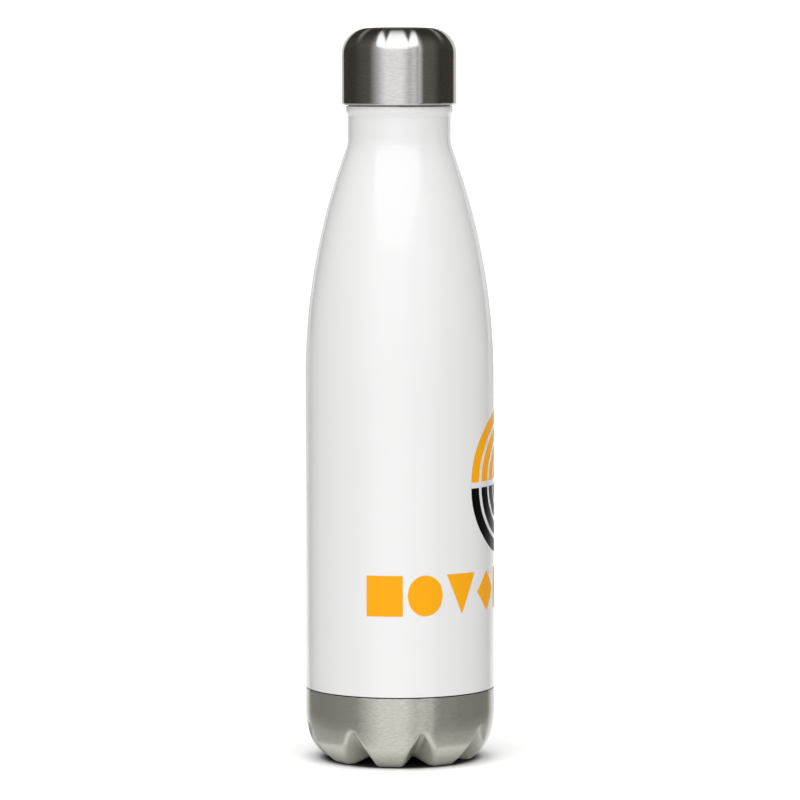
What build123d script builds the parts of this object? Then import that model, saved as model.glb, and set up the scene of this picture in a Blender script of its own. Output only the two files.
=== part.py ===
"""Insulated drinking bottle of about half a litre: a slim double-walled steel flask with a petal foot
and a screw-in stopper under a domed steel cap.

Millimetres, +Z up. The origin is the centre of the ring of feet, on the plane they stand on.
-Y is the front. Outlines are drawn as (radius, height) and turned about Z.
"""

from build123d import *
from math import acos, asin, atan2, cos, degrees, hypot, radians, sin, tan
import os

# ---- Flask, outside ----------------------------------------------------------------------
TOTAL_H = 272.6
BODY_R = 35.2  # painted wall
NECK_R = 19.05
LIP_Z = 243.5  # top of the drinking rim
SEAM_Z = 27.1  # lower edge of the painted wall
SHOULDER_Z = 141.0  # the straight wall starts to draw in here
SHOULDER_R = 250.0
NECK_BLEND_R = 14.0
FLARE_R = 19.85  # painted flare under the rim
FLARE_Z = (239.0, 241.8)
SHEET = 0.5

# ---- Liner -------------------------------------------------------------------------------
LINER_R = 30.4  # inside
LINER_SHEET = 0.4
LINER_SHOULDER_Z = 137.0
THROAT_BLEND_R = 10.0
LINER_SPLIT_Z = 28.0
LINER_FLOOR_Z = 16.0
LINER_DOME_H = 3.0  # raised centre of the floor
GETTER_R, GETTER_H = 4.0, 2.0
GETTER_TOP = LINER_FLOOR_Z + LINER_DOME_H - LINER_SHEET

# ---- Mouth -------------------------------------------------------------------------------
BORE_R = 17.0
THROAT_R = 15.4
SEAT_Z = (226.6, 229.2)  # sloping seat between throat and bore
RIM_ROLL_R = 1.1
RIM_WELD_R = 18.3  # liner and outer wall meet flush here

# ---- Screw thread ------------------------------------------------------------------------
LEAD = 5.0  # rise in one turn, right-handed
TURNS = 1.5
RIDGE_H = 0.85
RIDGE_ROOT_W, RIDGE_CREST_W = 1.9, 0.8
NECK_RIDGE_Z = 232.4  # where the ridge in the neck starts
RIDGE_DROP = 1.4  # the stopper's ridge lies this far below it

# ---- Petal base --------------------------------------------------------------------------
PETALS = 8
FRONT_VALLEY = 14.0  # degrees from -Y to the nearest valley, anticlockwise from above
BASE_R = BODY_R  # flush with the wall
SHADOW_GAP = 0.5  # open joint under the painted wall
SPIGOT_R, SPIGOT_H = BODY_R - SHEET - 0.05, 4.5
EASE_Z, EASE_R, EASE_LEAN = 18.5, 33.0, 15.0
HEEL_R, TOE_R = 17.0, 3.0
FOOT_R = 23.6  # inner edge of the flat feet
PANEL_R, PANEL_Z = 16.5, 3.6
DIMPLE_R, DIMPLE_H = 6.0, 1.2
VENT_R = 0.9  # evacuation hole
VALLEY_SLOPE = 38.5  # degrees
VALLEY_TOP = (35.6, 15.4)  # a point on the sharp valley line
VALLEY_Z = 3.3  # height at which it levels out
VALLEY_BEND_R = 9.0
VALLEY_HALF_ANGLE = 44.0
VALLEY_ROUND = 1.5
CREASE_ROUND = 2.5

# ---- Cap and stopper ---------------------------------------------------------------------
CAP_R = 21.25
CAP_Z = 243.75  # lower edge of the steel cap
CAP_CORNER_R = 9.5
CAP_CROWN_R = 174.0
CURL_R, CURL_W = 0.8, 1.5  # edge turned in under the stopper's flange
GLUE = 0.05
INSERT_WALL = 1.5
RIBS = 6
FLANGE_R, FLANGE_Z = 20.65, (244.25, 247.2)
GASKET_R, GASKET_TOP = 19.0, 244.9
BARREL_R = 15.9
NOSE_R = 14.9
TOE_Z = 223.5
HOLLOW_R = 13.0
COLLAR_R, COLLAR_TOP = 14.5, 256.0
SEAL_R = (14.0, 15.95)
SEAL_Z = (227.43, 229.6)


# ---- Helpers -----------------------------------------------------------------------------
def turned(face):
    """The solid that a flat (radius, height) face sweeps about Z."""
    return revolve(Plane.XZ * face, Axis.Z)


def lathe(*points):
    """Turned solid with straight-sided outline."""
    return turned(make_face(Polyline(*points, close=True)))


def ring(inner, outer, bottom, top):
    """Plain collar, or a disc when the inner radius is 0."""
    return lathe((inner, bottom), (outer, bottom), (outer, top), (inner, top))


def sheet(edges, thickness, side):
    """Turned sheet: the outline is one surface and the other lies to the side given."""
    return turned(make_face(offset(Wire(edges), amount=thickness, side=side)))


def follow(before, radius, angle):
    """An arc that carries on from an edge, to the left for a positive angle."""
    return JernArc(before @ 1, before % 1, radius, angle)


def straight_to(before, point):
    return Line(before @ 1, point)


def s_bend(start, end):
    """Two equal arcs between two upright stretches."""
    middle = (Vector(*start) + Vector(*end)) * 0.5
    lower = TangentArc(start, middle, tangent=(0, 1))
    upper = TangentArc(middle, end, tangent=lower % 1)
    return [lower.edge(), upper.edge()]


def shoulder(foot, neck_r, arc_r, blend_r):
    """The long arc that draws a wall in, and the short one that blends it into a neck."""
    lean = degrees(acos(1 - (foot.X - neck_r) / (arc_r + blend_r)))
    draw_in = JernArc(foot, (0, 1), arc_r, lean)
    blend = follow(draw_in, blend_r, -lean)
    return [draw_in.edge(), blend.edge()]


def thread_ridge(wall_r, height, bottom):
    """Helical ridge that stands out from a wall, or inwards where height is negative. It bites a little
    into the wall so that the two fuse."""
    path = Pos(0, 0, bottom) * Helix(LEAD, LEAD * TURNS, wall_r)
    bite = -0.15 if height > 0 else 0.15
    root, crest = RIDGE_ROOT_W / 2, RIDGE_CREST_W / 2
    section = make_face(Polyline((bite, -root), (height, -crest), (height, crest), (bite, root), close=True))
    start = Plane(origin=path @ 0, x_dir=(1, 0, 0), z_dir=path % 0)
    return sweep(start * section, path=path, is_frenet=True)


# ---- Flask -------------------------------------------------------------------------------
def outer_shell():
    """Painted outer wall: body, shoulder, neck and flare, turned in to meet the liner at the mouth."""
    corner_r = 0.6
    wall = Line((BODY_R, SEAM_Z), (BODY_R, SHOULDER_Z))
    bends = shoulder(wall @ 1, NECK_R, SHOULDER_R, NECK_BLEND_R)
    neck = straight_to(bends[-1], (NECK_R, FLARE_Z[0]))
    flare = s_bend((NECK_R, FLARE_Z[0]), (FLARE_R, FLARE_Z[1]))
    edge = straight_to(flare[-1], (FLARE_R, LIP_Z - corner_r))
    corner = follow(edge, corner_r, 90)
    turn_in = straight_to(corner, (RIM_WELD_R, LIP_Z))
    return sheet([wall, *bends, neck, *flare, edge, corner, turn_in], SHEET, Side.LEFT)


def inner_liner():
    """Liner: wall, shoulder, throat, seal seat, bore with its rolled thread, and the rolled rim."""
    wall = Line((LINER_R, LINER_SPLIT_Z), (LINER_R, LINER_SHOULDER_Z))
    arc_r = SHOULDER_R - (BODY_R - LINER_R)
    bends = shoulder(wall @ 1, THROAT_R, arc_r, THROAT_BLEND_R)
    throat = straight_to(bends[-1], (THROAT_R, SEAT_Z[0]))
    seat = s_bend((THROAT_R, SEAT_Z[0]), (BORE_R, SEAT_Z[1]))
    bore = straight_to(seat[-1], (BORE_R, LIP_Z - RIM_ROLL_R))
    roll = follow(bore, RIM_ROLL_R, -90)
    rim = straight_to(roll, (RIM_WELD_R, LIP_Z))
    liner = sheet([wall, *bends, throat, *seat, bore, roll, rim], LINER_SHEET, Side.RIGHT)
    return liner + thread_ridge(BORE_R, -RIDGE_H, NECK_RIDGE_Z)


def liner_bottom():
    """Drawn cup that closes the liner, with a raised centre."""
    top = LINER_FLOOR_Z + LINER_DOME_H
    outline = FilletPolyline(
        (0, top),
        (13, top),
        (19, LINER_FLOOR_Z),
        (LINER_R, LINER_FLOOR_Z),
        (LINER_R, LINER_SPLIT_Z),
        radius=[5, 5, 8],
    )
    return sheet(outline.edges(), LINER_SHEET, Side.RIGHT)


def heat_shield():
    """Reflective foil wrapped once round the liner, in the vacuum."""
    inner = LINER_R + LINER_SHEET + 0.05
    return ring(inner, inner + 0.15, LINER_SPLIT_Z + 8, LINER_SHOULDER_Z)


def getter_pellet():
    """Gas-absorbing tablet."""
    return ring(0, GETTER_R, GETTER_TOP - GETTER_H, GETTER_TOP)


def getter_holder():
    """Small steel cup, tacked by its brim under the raised centre of the liner, that carries the tablet."""
    wall, brim = 0.3, 2.5
    floor = GETTER_TOP - GETTER_H
    return lathe(
        (0, floor - wall),
        (GETTER_R + wall, floor - wall),
        (GETTER_R + wall, GETTER_TOP - wall),
        (GETTER_R + brim, GETTER_TOP - wall),
        (GETTER_R + brim, GETTER_TOP),
        (GETTER_R, GETTER_TOP),
        (GETTER_R, floor),
        (0, floor),
    )


# ---- Petal base --------------------------------------------------------------------------
def petal_sector(inset):
    """One petal's share of the turned form, before the valleys, centred on +X. The inset moves every
    surface inwards, for the inside of the sheet."""
    step_z = SEAM_Z - SHADOW_GAP - inset
    wall = Line((BASE_R - inset, step_z - 0.2), (BASE_R - inset, EASE_Z))
    ease = JernArc(wall @ 1, (0, -1), EASE_R - inset, -EASE_LEAN)
    ease_end_z = EASE_Z - EASE_R * sin(radians(EASE_LEAN))
    heel_centre_z = ease_end_z + HEEL_R * sin(radians(EASE_LEAN))
    lean = degrees(asin((heel_centre_z - TOE_R) / (HEEL_R - TOE_R)))
    heel = follow(ease, HEEL_R - inset, EASE_LEAN - lean)
    toe = follow(heel, TOE_R - inset, lean - 90)
    inside = Polyline(
        toe @ 1,
        (FOOT_R, inset),
        (PANEL_R, PANEL_Z + inset),
        (DIMPLE_R, PANEL_Z + inset),
        (DIMPLE_R - DIMPLE_H, PANEL_Z + DIMPLE_H + inset),
        (0, PANEL_Z + DIMPLE_H + inset),
        (0, SEAM_Z + SPIGOT_H),
        (SPIGOT_R - inset, SEAM_Z + SPIGOT_H),
        (SPIGOT_R - inset, step_z),
        (BASE_R - inset - 0.2, step_z),
        wall @ 0,
    )
    face = make_face([wall.edge(), ease.edge(), heel.edge(), toe.edge(), *inside.edges()])
    sector = revolve(Plane.XZ * face, Axis.Z, revolution_arc=360 / PETALS)
    return Rot(0, 0, -180 / PETALS) * sector


def valley(inset):
    """Cutter for one valley, along +X: a rounded V that runs level, bends up and climbs outwards."""
    slope, half = radians(VALLEY_SLOPE), radians(VALLEY_HALF_ANGLE)
    depth = 16.0
    apex = inset / sin(half)
    spread = (depth + apex) * tan(half)
    wedge = make_face(Polyline((0, apex), (-spread, -depth), (spread, -depth), close=True))
    wedge = fillet(wedge.vertices().sort_by(Axis.Y)[-1], VALLEY_ROUND + inset)

    corner_r = VALLEY_TOP[0] - (VALLEY_TOP[1] - VALLEY_Z) / tan(slope)
    run = VALLEY_BEND_R * tan(slope / 2)
    bend_r = corner_r - run
    middle = Plane(origin=(0, 0, VALLEY_Z), x_dir=(0, 1, 0), z_dir=(1, 0, 0))
    bend_start = Plane(origin=(bend_r, 0, VALLEY_Z), x_dir=(0, 1, 0), z_dir=(1, 0, 0))
    bend_end = Plane(
        origin=(corner_r + run * cos(slope), 0, VALLEY_Z + run * sin(slope)),
        x_dir=(0, 1, 0),
        z_dir=(cos(slope), 0, sin(slope)),
    )
    hinge_line = Axis((bend_r, 0, VALLEY_Z + VALLEY_BEND_R), (0, -1, 0))
    level = extrude(middle * wedge, bend_r)
    bend = revolve(bend_start * wedge, hinge_line, revolution_arc=VALLEY_SLOPE)
    climb = extrude(bend_end * wedge, 30)
    return level + bend + climb


def creases(petal):
    """Edges along the lips of the valleys: off the sector's sides and centre line, below the wall."""
    half = 180 / PETALS
    chosen = []
    for edge in petal.edges():
        middle = edge @ 0.5
        bearing = abs(degrees(atan2(middle.Y, middle.X)))
        if 1 < bearing < half - 0.3 and hypot(middle.X, middle.Y) > PANEL_R + 0.5 and middle.Z < EASE_Z:
            chosen.append(edge)
    return chosen


def petal_form(inset):
    """All the petals as one solid."""
    half = 180 / PETALS
    cutter = valley(inset)
    petal = petal_sector(inset) - [Rot(0, 0, side * half) * cutter for side in (-1, 1)]
    petal = fillet(creases(petal), CREASE_ROUND - inset)
    first = FRONT_VALLEY - 90 + half
    return Part() + [Rot(0, 0, first + 2 * half * i) * petal for i in range(PETALS)]


def petal_base():
    """Bare steel bottom: a deep-drawn cup pressed into petals. Its spigot slips inside the painted wall,
    and the evacuation hole is in the dimple at its centre."""
    return petal_form(0) - petal_form(SHEET) - Cylinder(VENT_R, 20)


def seal_bead():
    """Drop of solder glass that closes the evacuation hole."""
    ceiling = PANEL_Z + DIMPLE_H
    return lathe(
        (0, ceiling - 0.9),
        (2.2, ceiling - 0.8),
        (3.2, ceiling - 0.3),
        (3.4, ceiling),
        (VENT_R, ceiling),
        (VENT_R, ceiling + SHEET),
        (0, ceiling + SHEET + 0.15),
    )


def base_disc():
    """Cover disc stuck into the recess inside the ring of feet."""
    disc = ring(0, 14.0, PANEL_Z - 0.5, PANEL_Z)
    return chamfer(disc.edges().filter_by(GeomType.CIRCLE).sort_by(Axis.Z)[0], 0.15)


# ---- Cap ---------------------------------------------------------------------------------
def dome(inset, bottom):
    """Outline of the cap's dome, moved inwards by the inset: wall, corner and crown."""
    corner_r, crown_r = CAP_CORNER_R - inset, CAP_CROWN_R - inset
    lean = asin((CAP_R - CAP_CORNER_R) / (CAP_CROWN_R - CAP_CORNER_R))
    corner_z = TOTAL_H - CAP_CROWN_R + (CAP_CROWN_R - CAP_CORNER_R) * cos(lean)
    wall = Line((CAP_R - inset, bottom), (CAP_R - inset, corner_z))
    corner = follow(wall, corner_r, 90 - degrees(lean))
    crown = TangentArc(corner @ 1, (0, TOTAL_H - inset), tangent=corner % 1)
    return [wall, corner, crown]


def cap_shell():
    """Drawn steel cap with its edge turned in."""
    curl = [Line((CAP_R - CURL_W, CAP_Z), (CAP_R - CURL_R, CAP_Z))]
    curl.append(follow(curl[0], CURL_R, 90))
    return sheet([*curl, *dome(0, CAP_Z + CURL_R)], SHEET, Side.LEFT)


def cap_insert():
    """Plastic lining glued into the dome, with a ribbed socket that grips the stopper's collar."""
    lining = sheet(dome(SHEET + GLUE, FLANGE_Z[1]), INSERT_WALL, Side.LEFT)
    socket_r = COLLAR_R + GLUE
    socket = ring(socket_r, socket_r + INSERT_WALL, FLANGE_Z[1] + 1, TOTAL_H - 3.1)
    skirt_r = CAP_R - SHEET - GLUE - INSERT_WALL
    reach = skirt_r - socket_r - 0.4
    rib = Pos(socket_r + 0.7 + reach / 2, 0, 255) * Box(reach, 1.2, 13)
    return lining + socket + [Rot(0, 0, 360 * i / RIBS) * rib for i in range(RIBS)]


def stopper():
    """Hollow plastic stopper: nose, seal groove, threaded barrel, flange and collar."""
    floor = TOE_Z + 1.5
    body = lathe(
        (0, TOE_Z),
        (NOSE_R, TOE_Z),
        (NOSE_R, SEAL_Z[0]),
        (SEAL_R[0], SEAL_Z[0]),
        (SEAL_R[0], SEAL_Z[1]),
        (BARREL_R - 0.4, SEAL_Z[1]),
        (BARREL_R, SEAL_Z[1] + 0.3),
        (BARREL_R, GASKET_TOP),
        (GASKET_R, GASKET_TOP),
        (GASKET_R, FLANGE_Z[0]),
        (FLANGE_R - 0.4, FLANGE_Z[0]),
        (FLANGE_R, FLANGE_Z[0] + 0.4),
        (FLANGE_R, FLANGE_Z[1]),
        (COLLAR_R, FLANGE_Z[1]),
        (COLLAR_R, COLLAR_TOP),
        (HOLLOW_R, COLLAR_TOP),
        (HOLLOW_R, floor),
        (0, floor),
    )
    body = fillet(body.edges().filter_by(GeomType.CIRCLE).sort_by(Axis.Z)[0], 1.2)
    return body + thread_ridge(BARREL_R, RIDGE_H, NECK_RIDGE_Z - RIDGE_DROP)


def foam_core():
    """Foam plug that fills the stopper."""
    return ring(0, HOLLOW_R - 0.1, TOE_Z + 1.5, COLLAR_TOP + 2)


def stopper_seal():
    """Silicone ring in the stopper's groove that lands on the seat in the neck."""
    seal = ring(*SEAL_R, *SEAL_Z)
    rims = seal.edges().filter_by(lambda e: e.geom_type == GeomType.CIRCLE and e.radius > SEAL_R[0] + 0.1)
    return fillet(rims, 0.6)


def lip_gasket():
    """Silicone washer under the flange that rests on the drinking rim."""
    return ring(BARREL_R + 0.15, GASKET_R - 0.1, LIP_Z, GASKET_TOP)


PIECES = [
    outer_shell,
    inner_liner,
    liner_bottom,
    heat_shield,
    getter_holder,
    getter_pellet,
    petal_base,
    seal_bead,
    base_disc,
    cap_shell,
    cap_insert,
    stopper,
    foam_core,
    stopper_seal,
    lip_gasket,
]

os.makedirs("parts", exist_ok=True)
for piece in PIECES:
    export_step(piece(), f"parts/{piece.__name__}.step")
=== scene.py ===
"""Looks of the insulated bottle: gloss white paint over a satin steel foot, a brushed steel cap, and the
studio they stand in. Lengths are in metres, +Z is up and the camera looks along +Y.
"""

from math import cos, pi, radians, sin, sqrt, tau

import bpy
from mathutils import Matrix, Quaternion, Vector


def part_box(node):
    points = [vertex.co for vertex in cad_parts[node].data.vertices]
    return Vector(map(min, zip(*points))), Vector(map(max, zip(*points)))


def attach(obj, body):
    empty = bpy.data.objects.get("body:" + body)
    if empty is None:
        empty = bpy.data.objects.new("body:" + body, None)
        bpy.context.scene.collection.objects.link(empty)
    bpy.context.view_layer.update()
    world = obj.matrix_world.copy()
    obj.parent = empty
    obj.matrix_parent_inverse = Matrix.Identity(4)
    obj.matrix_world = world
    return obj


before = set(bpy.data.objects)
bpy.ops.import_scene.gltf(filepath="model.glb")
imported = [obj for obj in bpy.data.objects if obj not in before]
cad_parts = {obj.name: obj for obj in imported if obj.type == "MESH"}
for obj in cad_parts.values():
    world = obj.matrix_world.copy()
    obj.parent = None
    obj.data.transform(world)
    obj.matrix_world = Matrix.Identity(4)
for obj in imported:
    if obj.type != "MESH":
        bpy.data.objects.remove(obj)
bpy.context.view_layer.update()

BODY_LOW, BODY_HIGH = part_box("outer_shell")
BODY_R = BODY_HIGH.x


# ---- Node helpers ------------------------------------------------------------------------
class Tree:
    """Short-hand for wiring shader nodes. Values may be numbers or sockets."""

    def __init__(self, owner):
        owner.use_nodes = True
        self.tree = owner.node_tree
        self.tree.nodes.clear()

    def node(self, kind, **settings):
        made = self.tree.nodes.new(kind)
        for name, value in settings.items():
            setattr(made, name, value)
        return made

    def feed(self, socket, value):
        if isinstance(value, bpy.types.NodeSocket):
            self.tree.links.new(value, socket)
        else:
            socket.default_value = value

    def math(self, operation, *values):
        made = self.node("ShaderNodeMath", operation=operation)
        for socket, value in zip(made.inputs, values):
            self.feed(socket, value)
        return made.outputs[0]

    def product(self, first, *others):
        for other in others:
            first = self.math("MULTIPLY", first, other)
        return first

    def distance(self, value, middle):
        return self.math("ABSOLUTE", self.math("SUBTRACT", value, middle))

    def vector(self, x, y, z):
        made = self.node("ShaderNodeCombineXYZ")
        for socket, value in zip(made.inputs, (x, y, z)):
            self.feed(socket, value)
        return made.outputs[0]

    def split(self, value):
        made = self.node("ShaderNodeSeparateXYZ")
        self.feed(made.inputs[0], value)
        return made.outputs

    def ease(self, value, start, end, low=0.0, high=1.0):
        """Goes smoothly from low to high as value goes from start to end."""
        made = self.node("ShaderNodeMapRange", interpolation_type="SMOOTHSTEP")
        for socket, number in zip(made.inputs, (value, start, end, low, high)):
            self.feed(socket, number)
        return made.outputs[0]

    def noise(self, vector, scale, detail=2.0, rough=0.5):
        made = self.node("ShaderNodeTexNoise")
        self.feed(made.inputs["Vector"], vector)
        for name, value in (("Scale", scale), ("Detail", detail), ("Roughness", rough)):
            made.inputs[name].default_value = value
        return made.outputs[0]

    def mix(self, amount, first, second):
        made = self.node("ShaderNodeMix", data_type="RGBA")
        self.feed(made.inputs[0], amount)
        self.feed(made.inputs[6], first)
        self.feed(made.inputs[7], second)
        return made.outputs[2]

    def bump(self, height, strength, distance):
        made = self.node("ShaderNodeBump")
        self.feed(made.inputs["Height"], height)
        made.inputs["Strength"].default_value = strength
        made.inputs["Distance"].default_value = distance
        return made.outputs[0]


def material(name, colour, **sockets):
    """A new material with a Principled shader; returns it with its tree and shader."""
    made = bpy.data.materials.new(name)
    tree = Tree(made)
    shader = tree.node("ShaderNodeBsdfPrincipled")
    out = tree.node("ShaderNodeOutputMaterial")
    tree.tree.links.new(shader.outputs[0], out.inputs[0])
    shader.inputs["Base Color"].default_value = (*colour, 1)
    for socket, value in sockets.items():
        shader.inputs[socket.replace("_", " ")].default_value = value
    return made, tree, shader


def shade(colour, factor):
    return (*(c * factor for c in colour), 1)


# ---- Materials ---------------------------------------------------------------------------
WHITE = (0.68, 0.68, 0.68)
BARE_STEEL = (0.66, 0.66, 0.65)
BARE_FROM, BARE_FULL = BODY_HIGH.z - 0.0003, BODY_HIGH.z - 0.0002  # the paint stops between these


def gloss_paint():
    """Gloss enamel with a trace of orange peel. It stops at the lip, whose flat top is bare steel."""
    made, t, shader = material("white_paint", WHITE)
    shader.inputs["Coat Roughness"].default_value = 0.03
    place = t.node("ShaderNodeTexCoord").outputs["Object"]
    bare = t.ease(t.split(place)[2], BARE_FROM, BARE_FULL)
    t.feed(shader.inputs["Base Color"], t.mix(bare, (*WHITE, 1), (*BARE_STEEL, 1)))
    t.feed(shader.inputs["Metallic"], bare)
    t.feed(shader.inputs["Coat Weight"], t.product(t.math("SUBTRACT", 1.0, bare), 0.5))
    gloss = t.ease(t.noise(place, 35, 3.0), 0.3, 0.7, 0.05, 0.09)
    t.feed(shader.inputs["Roughness"], t.math("ADD", gloss, t.product(bare, 0.18)))
    t.feed(shader.inputs["Normal"], t.bump(t.noise(place, 500, 1.0), 0.03, 0.00003))
    return made


def turned_coords(t, round_scale, along_scale):
    """Coordinates in which noise becomes streaks that run round Z, on walls and on domes alike."""
    x, y, z = t.split(t.node("ShaderNodeTexCoord").outputs["Object"])
    reach = t.math("SQRT", t.math("ADD", t.product(x, x), t.product(y, y)))
    along = t.product(t.math("SUBTRACT", z, reach), along_scale)
    return t.vector(t.product(x, round_scale), t.product(y, round_scale), along)


RECESS_SHADE = 0.18  # painted shade in the recess under the paint's edge: how much of the steel's own colour it leaves
RECESS_SHADE_EDGE = 0.00005


def brushed_steel(
    name, colour, rough, streak=0.2, grain=(500, 2600), anisotropy=0.6, matt=0.0, shaded_above=None
):
    """Steel brushed on a lathe: fine streaks round the axis that smear reflections up and down. Above the
    height given by the last argument it is darkened, painted shade for the narrow recess under the
    paint's edge."""
    made, t, shader = material(name, colour, Metallic=1 - matt)
    shader.inputs["Anisotropic"].default_value = anisotropy
    shader.inputs["Anisotropic Rotation"].default_value = 0.25
    tangent = t.node("ShaderNodeTangent", direction_type="RADIAL", axis="Z")
    t.feed(shader.inputs["Tangent"], tangent.outputs[0])
    fine = t.noise(turned_coords(t, *grain), 1.0, 2.0, 0.6)
    tone = t.mix(fine, shade(colour, 1 - streak), shade(colour, 1 + streak))
    # Painted shade: above this height, in the recess under the paint's edge, the steel is darkened.
    if shaded_above:
        height = t.split(t.node("ShaderNodeTexCoord").outputs["Object"])[2]
        tone = t.mix(t.ease(height, shaded_above - RECESS_SHADE_EDGE, shaded_above), tone, shade(colour, RECESS_SHADE))
    t.feed(shader.inputs["Base Color"], tone)
    t.feed(shader.inputs["Roughness"], t.ease(fine, 0.3, 0.7, rough * 0.9, rough * 1.1))
    t.feed(shader.inputs["Normal"], t.bump(fine, 0.05, 0.00001))
    return made


def plain(name, colour, rough, grain=900, strength=0.1, depth=0.00002, tone=0.04, **sockets):
    """Moulded, printed or pressed stuff: one colour with a slight grain."""
    made, t, shader = material(name, colour, **sockets)
    place = t.node("ShaderNodeTexCoord").outputs["Object"]
    noise = t.noise(place, grain, 2.0)
    t.feed(shader.inputs["Base Color"], t.mix(noise, shade(colour, 1 - tone), shade(colour, 1 + tone)))
    t.feed(shader.inputs["Roughness"], t.ease(noise, 0.3, 0.7, rough * 0.93, rough * 1.07))
    t.feed(shader.inputs["Normal"], t.bump(noise, strength, depth))
    return made


PAINT = gloss_paint()
CAP_STEEL = brushed_steel("cap_steel", (0.65, 0.64, 0.62), 0.15, anisotropy=0.85)
# The foot's top edge sits in the recess under the paint and gets painted shade there.
BASE_STEEL = brushed_steel("satin_steel", (0.507, 0.503, 0.450), 0.20, streak=0.22, grain=(600, 2500),
                           anisotropy=0.85, matt=0.26, shaded_above=BODY_LOW.z - 0.0005)
LINER_STEEL = brushed_steel("liner_steel", (0.68, 0.68, 0.67), 0.24, streak=0.12)
FOIL = plain("foil", (0.85, 0.85, 0.86), 0.2, grain=300, strength=0.4, depth=0.0001, Metallic=1.0)
GETTER = plain("getter", (0.10, 0.10, 0.11), 0.7, grain=3000, strength=0.5, depth=0.00005)
SOLDER_GLASS = plain("solder_glass", (0.16, 0.18, 0.14), 0.15, grain=400, strength=0.2)
CORE_PLASTIC = plain("core_plastic", (0.022, 0.022, 0.024), 0.42, grain=2200)
FOAM = plain("foam", (0.82, 0.79, 0.66), 0.9, grain=1500, strength=0.8, depth=0.0002)
SILICONE = plain("silicone", (0.78, 0.78, 0.76), 0.38, grain=1200)
# A darker copy of the silicone for the lip gasket: its darkening is painted shade for the narrow gap
# under the cap.
SHADED_SILICONE = plain("shaded_silicone", (0.52, 0.50, 0.46), 0.45, grain=1200)
ORANGE_INK = plain("orange_ink", (0.77, 0.33, 0.001), 0.3, grain=1600, tone=0.02, Specular_IOR_Level=0.15)
BLACK_INK = plain("black_ink", (0.002, 0.002, 0.002), 0.3, grain=1600, tone=0.02, Specular_IOR_Level=0.15)

FINISHES = {
    "outer_shell": PAINT,
    "inner_liner": LINER_STEEL,
    "liner_bottom": LINER_STEEL,
    "petal_base": BASE_STEEL,
    "heat_shield": FOIL,
    "getter_holder": LINER_STEEL,
    "getter_pellet": GETTER,
    "seal_bead": SOLDER_GLASS,
    "base_disc": BASE_STEEL,
    "cap_shell": CAP_STEEL,
    "cap_insert": CORE_PLASTIC,
    "stopper": CORE_PLASTIC,
    "foam_core": FOAM,
    "stopper_seal": SILICONE,
    "lip_gasket": SHADED_SILICONE,
}
for node, finish in FINISHES.items():
    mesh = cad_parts[node].data
    mesh.materials.clear()
    mesh.materials.append(finish)


# ---- Printed marks -----------------------------------------------------------------------
INK = 0.00004  # the print reaches this far into the wall and this far out of it
MARK_BEARING = radians(90)  # the print is centred on +X; bearings run from -Y towards +X
EMBLEM_Z, EMBLEM_R = 0.1040, 0.0255
EMBLEM_GAP = 0.0011  # from the emblem's middle line to each half
# Inner and outer radius of each band.
EMBLEM_BANDS = [(0.0002, 0.0060), (0.0078, 0.0125), (0.0143, 0.0190), (0.0208, EMBLEM_R)]
ROW_Z, ROW_H = 0.0645, 0.0150
ROW_SPAN = radians(220.6)
ROW_COUNT = 9
ROW_GAP = 0.0017


def wrapped(name, rows, ink):
    """A print on the wall. Each row is a list of points (distance round the wall from the middle of the
    print, height), and neighbouring rows are joined by quads."""
    points, faces = [], []
    width = len(rows[0])
    for layer in (BODY_R - INK, BODY_R + INK):
        for row in rows:
            for along, height in row:
                bearing = MARK_BEARING + along / BODY_R
                points.append((layer * sin(bearing), -layer * cos(bearing), height))
    count = len(rows) * width

    def quad(a, b, c, d):
        faces.append((a, b, c, d))

    for i in range(len(rows) - 1):
        for j in range(width - 1):
            a = i * width + j
            quad(a, a + width, a + width + 1, a + 1)
            a += count
            quad(a, a + 1, a + width + 1, a + width)
    edge = list(range(width))
    edge += [i * width + width - 1 for i in range(1, len(rows))]
    edge += [(len(rows) - 1) * width + j for j in range(width - 2, -1, -1)]
    edge += [i * width for i in range(len(rows) - 2, 0, -1)]
    for here, there in zip(edge, edge[1:] + edge[:1]):
        quad(here, there, there + count, here + count)

    mesh = bpy.data.meshes.new(name)
    mesh.from_pydata(points, [], faces)
    mesh.validate()
    mesh.materials.append(ink)
    piece = bpy.data.objects.new(name, mesh)
    bpy.context.collection.objects.link(piece)
    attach(piece, "bottle")


def arc_rows(inner, outer, start, end, middle_z, steps=40):
    """A band of a ring between two angles."""
    radii = (inner, (inner + outer) / 2, outer)
    rows = []
    for i in range(steps + 1):
        angle = start + (end - start) * i / steps
        rows.append([(r * cos(angle), middle_z + r * sin(angle)) for r in radii])
    return rows


def column_rows(middle, width, upper, lower, steps=24):
    """A shape given by the heights of its upper and lower edges across its width, from -1 to 1."""
    rows = []
    for i in range(steps + 1):
        t = -1 + 2 * i / steps
        rows.append([(middle + t * width / 2, lower(t)), (middle + t * width / 2, upper(t))])
    return rows


def print_emblem():
    """Concentric half rings, orange above and black below."""
    halves = (
        (ORANGE_INK, "print_sun", 0, pi, EMBLEM_Z + EMBLEM_GAP),
        (BLACK_INK, "print_tide", pi, tau, EMBLEM_Z - EMBLEM_GAP),
    )
    for ink, name, start, end, middle_z in halves:
        for i, (inner, outer) in enumerate(EMBLEM_BANDS):
            wrapped(f"{name}_{i + 1}", arc_rows(inner, outer, start, end, middle_z), ink)


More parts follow.
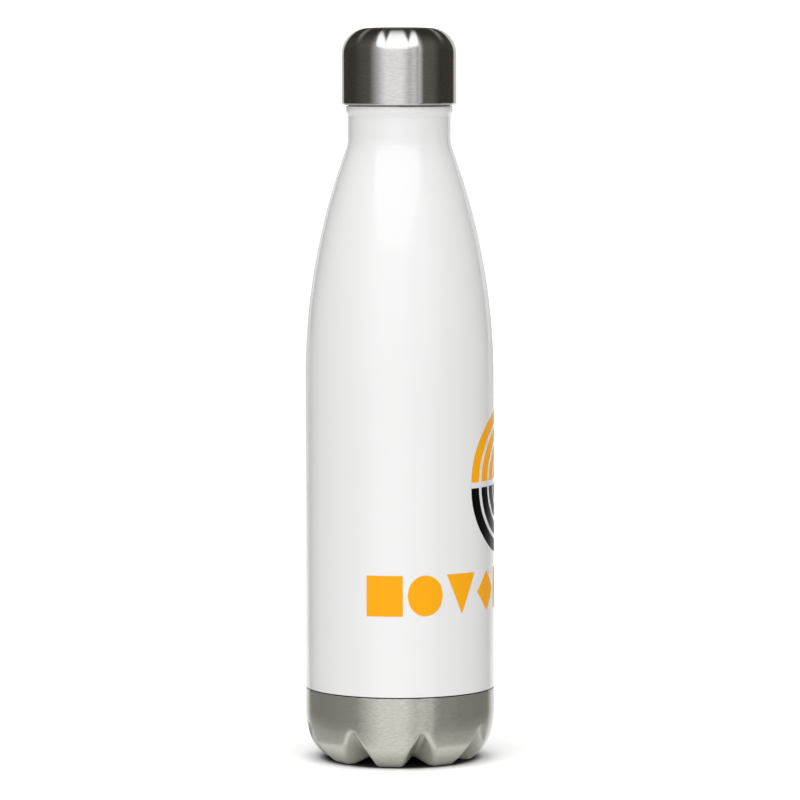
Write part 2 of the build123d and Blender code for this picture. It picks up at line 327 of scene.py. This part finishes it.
def print_row():
    """A row of plain shapes: block, disc, triangle and diamond in turn."""
    half = ROW_H / 2
    pitch = (ROW_SPAN * BODY_R + ROW_GAP) / ROW_COUNT
    width = pitch - ROW_GAP
    forms = [
        ("block", lambda t: half, lambda t: -half),
        ("disc", lambda t: half * sqrt(max(0, 1 - t * t)), lambda t: -half * sqrt(max(0, 1 - t * t))),
        ("triangle", lambda t: half, lambda t: half - 2 * half * (1 - abs(t))),
        ("diamond", lambda t: half * (1 - abs(t)), lambda t: -half * (1 - abs(t))),
    ]
    for i in range(ROW_COUNT):
        kind, upper, lower = forms[i % len(forms)]
        middle = (i - (ROW_COUNT - 1) / 2) * pitch
        rows = column_rows(middle, width, lambda t: ROW_Z + upper(t), lambda t: ROW_Z + lower(t))
        wrapped(f"print_{kind}_{i + 1}", rows, ORANGE_INK)


print_emblem()
print_row()


# ---- Studio ------------------------------------------------------------------------------
CAMERA_AT, CAMERA_AIM = (0, -1.640, 0.2547), (0, 0, 0.134)
CAMERA_ROLL = radians(-0.088)
CAMERA_LENS, CAMERA_SHIFT = 198.5, 0.0005

TABLE_HOLE_R, NEAR_TABLE_R, TABLE_R = 0.0005, 0.040, 6.0
TABLE_Z, FILM_Z = -0.0001, -0.00005
TABLE_WHITE = (0.80, 0.80, 0.80)
TABLE_GLOW = 0.16
GLOW_REACH = (0.031, 0.040)  # the table's glow sets in over this distance from the axis
SHADE_REACH = (0.0265, 0.032)  # and the dark of the contact shadow goes out over this
SHADE_DEPTH = 0.97

# Each lamp: strength, then spread, bearing from the front and height above the horizon, in degrees.
LAMPS = {
    "top_lamp": (0.8, 120, 0, 90),
    "left_lamp": (0.95, 70, -75, 66),
    "right_lamp": (0.80, 70, 68, 66),
}


def reach_from_axis(t):
    x, y, _ = t.split(t.node("ShaderNodeTexCoord").outputs["Object"])
    return t.math("SQRT", t.math("ADD", t.product(x, x), t.product(y, y)))


def light_table():
    """White floor that glows a little, except under the foot."""
    made, t, shader = material("light_table", TABLE_WHITE, Roughness=1.0, Specular_IOR_Level=0.0)
    shader.inputs["Emission Color"].default_value = (1, 1, 1, 1)
    t.feed(shader.inputs["Emission Strength"], t.ease(reach_from_axis(t), *GLOW_REACH, 0, TABLE_GLOW))
    return made


def contact_shade():
    """Dark film that fades out just beyond the feet."""
    made, t, shader = material("contact_shade", (0.01, 0.01, 0.01), Roughness=1.0, Specular_IOR_Level=0.0)
    t.feed(shader.inputs["Alpha"], t.ease(reach_from_axis(t), *SHADE_REACH, SHADE_DEPTH, 0))
    return made


def floor_piece(name, inner, outer, height, finish):
    """A flat ring of floor."""
    steps = 96
    angles = [tau * i / steps for i in range(steps)]
    points = [(r * cos(angle), r * sin(angle), height) for r in (inner, outer) for angle in angles]
    faces = [(i, steps + i, steps + (i + 1) % steps, (i + 1) % steps) for i in range(steps)]
    mesh = bpy.data.meshes.new(name)
    mesh.from_pydata(points, [], faces)
    mesh.materials.append(finish)
    ring = bpy.data.objects.new(name, mesh)
    bpy.context.collection.objects.link(ring)
    return ring


def studio_floor():
    """Metal only sees the ring of table nearest the bottle, and only the camera sees the dark film."""
    table = light_table()
    floor_piece("table_near", TABLE_HOLE_R, NEAR_TABLE_R, TABLE_Z, table)
    far = floor_piece("table_far", NEAR_TABLE_R, TABLE_R, TABLE_Z, table)
    far.visible_glossy = False
    film = floor_piece("contact_film", TABLE_HOLE_R, SHADE_REACH[1], FILM_Z, contact_shade())
    film.visible_glossy = False
    film.visible_diffuse = False
    film.visible_shadow = False


def studio_lamps():
    """Lamps that light paint and floor without showing in the metal."""
    for name, (strength, spread, bearing, height) in LAMPS.items():
        lamp = bpy.data.lights.new(name, "SUN")
        lamp.energy = strength
        lamp.angle = radians(spread)
        holder = bpy.data.objects.new(name, lamp)
        bpy.context.collection.objects.link(holder)
        holder.rotation_euler = (radians(90 - height), 0, radians(bearing))
        holder.visible_glossy = False


# ---- World -------------------------------------------------------------------------------
# The world is laid out by the way a surface has to face to show it to the camera: `across` is that
# bearing, from the front, + to the right, and `rise` the slope upwards, both in degrees. A pair named
# for a stretch is where a change begins and where it ends. Other pairs are values before and after one.
BACKDROP_LIGHT = 1.2  # the plain white that the camera sees
DIM_LIGHT = 0.5  # light below this is tinted
DIM_TINT = (1, 0.93, 0.80)
UNDERCUT = (-1, -4)  # the stretch where surfaces begin to face down

# Brightness of the front panel by bearing.
PANEL = [
    (-75, 0.03),
    (-52, 0.03),
    (-42, 0.07),
    (-31, 0.09),
    (-22.5, 0.50),
    (-14, 0.97),
    (2.5, 1.00),
    (9.5, 0.62),
    (12, 0.58),
    (14, 0.72),
    (17.2, 0.68),
    (18.7, 0.36),
    (20, 0.64),
    (22, 0.60),
    (25, 0.11),
    (37, 0.10),
    (45, 0.03),
    (75, 0.03),
]
PANEL_LIGHT = (1.05, 0.63)  # over most of its height, and at its foot
PANEL_FOOT = (-8, -20)
PANEL_TAPER = 1.15  # how much narrower the panel is on surfaces that face down
PANEL_TAPERING = (-1, -3.5)
PANEL_TOP = 14
PANEL_TOP_DEPTH = (4, 40)  # its top edge is crisp in the middle and soft at the sides
PANEL_SIDES = (14, 22)

SHEET_MIDDLE, SHEET_EDGE = -1.7, 73.0
SHEET_LIGHT = (0.65, 0.5)  # on upright surfaces, and on those that face down
SHEET_SOFTNESS = (1.5, 7)
SHEET_LEAN_DOWN, SHEET_LEAN_UP = 5, 4  # how much further in it comes on slopes
SHEET_LEANING_UP = (5, 45)
SHEET_OVERHEAD = (80, 84)

BLADE_LIGHT = (1.6, 1.25)  # low and high on the ceiling
BLADE_DIMMING = (30, 52)
BLADE_START, BLADE_END = (9.5, 11), (44, 69)
BLADE_FLARE = (8, 19)
BLADE_REACH = (8.5, 22.2)  # to either side of their middle
BLADE_MIDDLE = (-4.3, -2.0)
BLADE_SOFTNESS = 0.8
# Each seam between blades: its bearing low and high on the ceiling, and its width high up.
SEAMS = [(-14.3, -16.9, 7.6), (9.8, 12.0, 9.4)]
SEAM_DRIFT, SEAM_OPENING = (33, 75), (16, 66)
SEAM_CLOSED = -1.2
SEAM_EDGE = (-0.4, 1.8)

STRIPS = (-48.5, 52.0)
STRIP_LIGHT = 0.25
STRIP_EDGE = (0.5, 6.0)
STRIP_START, STRIP_END = (20, 50), (68, 76)

TABLE_LIGHT = (0.02, 0.46)  # far off and close by
TABLE_START = (-10, -19)
ROOM_LIGHT = 0.02
ROOM_START = (0, 30)


def front_panel(t, across, rise):
    """A white panel in front of the bottle."""
    ramp = t.node("ShaderNodeValToRGB")
    stops = ramp.color_ramp.elements
    while len(stops) < len(PANEL):
        stops.new(1.0)
    for stop, (bearing, value) in zip(stops, PANEL):
        stop.position = 0.5 + bearing / 180
        stop.color = (value, value, value, 1)
    narrowed = t.product(across, t.ease(rise, *PANEL_TAPERING, 1, PANEL_TAPER))
    t.feed(ramp.inputs[0], t.math("ADD", t.math("DIVIDE", narrowed, 180), 0.5))
    sideways = t.ease(t.math("ABSOLUTE", across), *PANEL_SIDES)
    depth = t.ease(sideways, 0, 1, *PANEL_TOP_DEPTH)
    top = t.ease(t.math("SUBTRACT", rise, PANEL_TOP), 0, depth, 1, 0)
    return t.product(ramp.outputs[0], top, t.ease(rise, *PANEL_FOOT, *PANEL_LIGHT))


def back_sheet(t, across, rise):
    """A white sheet behind. It shows at the very edges, and further in on surfaces that face down."""
    down = t.ease(rise, *UNDERCUT, 0, SHEET_LEAN_DOWN)
    lean_in = t.math("ADD", down, t.ease(rise, *SHEET_LEANING_UP, 0, SHEET_LEAN_UP))
    beyond = t.math("SUBTRACT", t.distance(across, SHEET_MIDDLE), SHEET_EDGE)
    sheet = t.ease(t.math("ADD", beyond, lean_in), 0, t.ease(rise, *UNDERCUT, *SHEET_SOFTNESS))
    sheet = t.math("MAXIMUM", sheet, t.ease(rise, *SHEET_OVERHEAD))
    return t.product(sheet, t.ease(rise, *UNDERCUT, *SHEET_LIGHT))


def ceiling_blades(t, across, rise):
    """Blades of light on the ceiling, which part at two seams that widen towards the back."""
    off = t.distance(across, t.ease(rise, *BLADE_FLARE, *BLADE_MIDDLE))
    beyond = t.math("SUBTRACT", off, t.ease(rise, *BLADE_FLARE, *BLADE_REACH))
    blades = t.ease(beyond, -BLADE_SOFTNESS, BLADE_SOFTNESS, 1, 0)
    blades = t.product(blades, t.ease(rise, *BLADE_START), t.ease(rise, *BLADE_END, 1, 0))
    for low_bearing, high_bearing, width in SEAMS:
        off = t.distance(across, t.ease(rise, *SEAM_DRIFT, low_bearing, high_bearing))
        gap = t.ease(rise, *SEAM_OPENING, SEAM_CLOSED, width / 2)
        blades = t.product(blades, t.ease(t.math("SUBTRACT", off, gap), *SEAM_EDGE))
    return t.product(blades, t.ease(rise, *BLADE_DIMMING, *BLADE_LIGHT))


def side_strips(t, across, rise):
    """Faint strips of light further out than the blades."""
    strips = 0.0
    for bearing in STRIPS:
        strips = t.math("ADD", strips, t.ease(t.distance(across, bearing), *STRIP_EDGE, STRIP_LIGHT, 0))
    return t.product(strips, t.ease(rise, *STRIP_START), t.ease(rise, *STRIP_END, 1, 0))


def studio_world():
    """What the bottle reflects. The camera itself sees plain white."""
    world = bpy.data.worlds.new("studio")
    bpy.context.scene.world = world
    t = Tree(world)
    x, y, z = t.split(t.node("ShaderNodeTexCoord").outputs["Generated"])
    toward = t.math("SUBTRACT", 1.0, y)
    reach = t.math("SQRT", t.math("ADD", t.product(x, x), t.product(toward, toward)))
    across = t.math("DEGREES", t.math("ARCTAN2", x, toward))
    rise = t.math("DEGREES", t.math("ARCTAN2", z, reach))

    light = t.math("MAXIMUM", front_panel(t, across, rise), ceiling_blades(t, across, rise))
    table = t.ease(rise, *TABLE_START, *TABLE_LIGHT)
    room = t.ease(rise, *ROOM_START, 0, ROOM_LIGHT)
    for share in (back_sheet(t, across, rise), side_strips(t, across, rise), table, room):
        light = t.math("ADD", light, share)

    seen = t.node("ShaderNodeBackground")
    seen.inputs[0].default_value = (1, 1, 1, 1)
    seen.inputs[1].default_value = BACKDROP_LIGHT
    lit = t.node("ShaderNodeBackground")
    t.feed(lit.inputs[0], t.mix(t.ease(light, 0.0, DIM_LIGHT), (*DIM_TINT, 1), (1, 1, 1, 1)))
    t.feed(lit.inputs[1], light)
    either = t.node("ShaderNodeMixShader")
    t.feed(either.inputs[0], t.node("ShaderNodeLightPath").outputs["Is Camera Ray"])
    t.feed(either.inputs[1], lit.outputs[0])
    t.feed(either.inputs[2], seen.outputs[0])
    out = t.node("ShaderNodeOutputWorld")
    t.feed(out.inputs[0], either.outputs[0])
    world.cycles.sampling_method = "MANUAL"
    world.cycles.sample_map_resolution = 1024


studio_floor()
studio_world()
studio_lamps()

bpy.context.scene.view_settings.view_transform = "Standard"

camera = bpy.data.objects.new("camera", bpy.data.cameras.new("camera"))
bpy.context.collection.objects.link(camera)
camera.location = CAMERA_AT
aim = (Vector(CAMERA_AIM) - Vector(CAMERA_AT)).to_track_quat("-Z", "Y")
camera.rotation_euler = (aim @ Quaternion((0, 0, 1), CAMERA_ROLL)).to_euler()
camera.data.lens = CAMERA_LENS
camera.data.shift_x = CAMERA_SHIFT
bpy.context.scene.camera = camera
